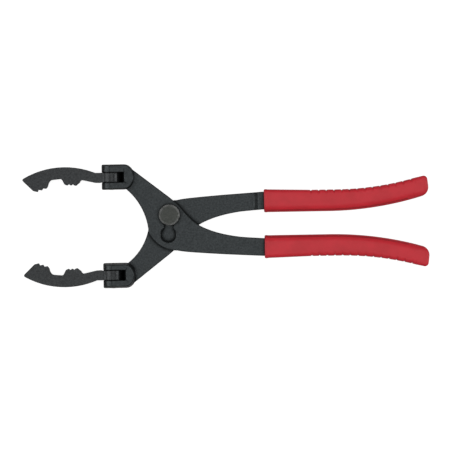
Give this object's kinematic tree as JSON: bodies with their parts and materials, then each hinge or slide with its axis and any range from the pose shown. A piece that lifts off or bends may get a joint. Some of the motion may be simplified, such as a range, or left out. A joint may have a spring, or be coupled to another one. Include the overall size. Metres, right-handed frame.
{
  "type": "oil filter wrench",
  "caption": "Slip-joint pliers for oil filters: forged arms crossed on a bolt, toothed jaws that swivel in forked ends, red dipped handle grips.",
  "frame": {"origin": "centre of the flat lower end of the pivot bolt, on the bolt's axis and in the plane of the bench the tool lies on", "axes": "+X along the handles, +Y towards the upper jaw, +Z towards the head of the pivot bolt"},
  "size_m": [0.3303, 0.101, 0.0191],
  "materials": {
    "forged_steel": "dark satin oxide",
    "jaw_steel": "dark matt oxide",
    "bolt_steel": "grey phosphate",
    "red_vinyl": "satin dipped vinyl"
  },
  "bodies": {
    "back_side": {"back_arm": "forged_steel", "upper_grip": "red_vinyl", "lower_jaw_pin": "bolt_steel"},
    "pivot": {"pivot_bolt": "bolt_steel", "pivot_nut": "bolt_steel"},
    "front_side": {"front_arm": "forged_steel", "lower_grip": "red_vinyl", "upper_jaw_pin": "bolt_steel"},
    "upper_swivel_jaw": {"upper_jaw": "jaw_steel"},
    "lower_swivel_jaw": {"lower_jaw": "jaw_steel"}
  },
  "joints": [
    {"name": "opening", "type": "hinge", "parent": "back_side", "child": "pivot", "pos_m": [0, 0, 0], "axis": [0, 0, -1], "range_deg": [-1, 50]},
    {"name": "slip", "type": "slide", "parent": "pivot", "child": "front_side", "axis": [0.068, 0.9977, 0], "range_m": [0, 0.016]},
    {"name": "upper_swivel", "type": "hinge", "parent": "front_side", "child": "upper_swivel_jaw", "pos_m": [-0.0465, 0.0313, 0.01005], "axis": [0, 1, 0], "range_deg": [-90, 90]},
    {"name": "lower_swivel", "type": "hinge", "parent": "back_side", "child": "lower_swivel_jaw", "pos_m": [-0.0465, -0.0483, 0.01005], "axis": [0, 1, 0], "range_deg": [-90, 90]}
  ]
}
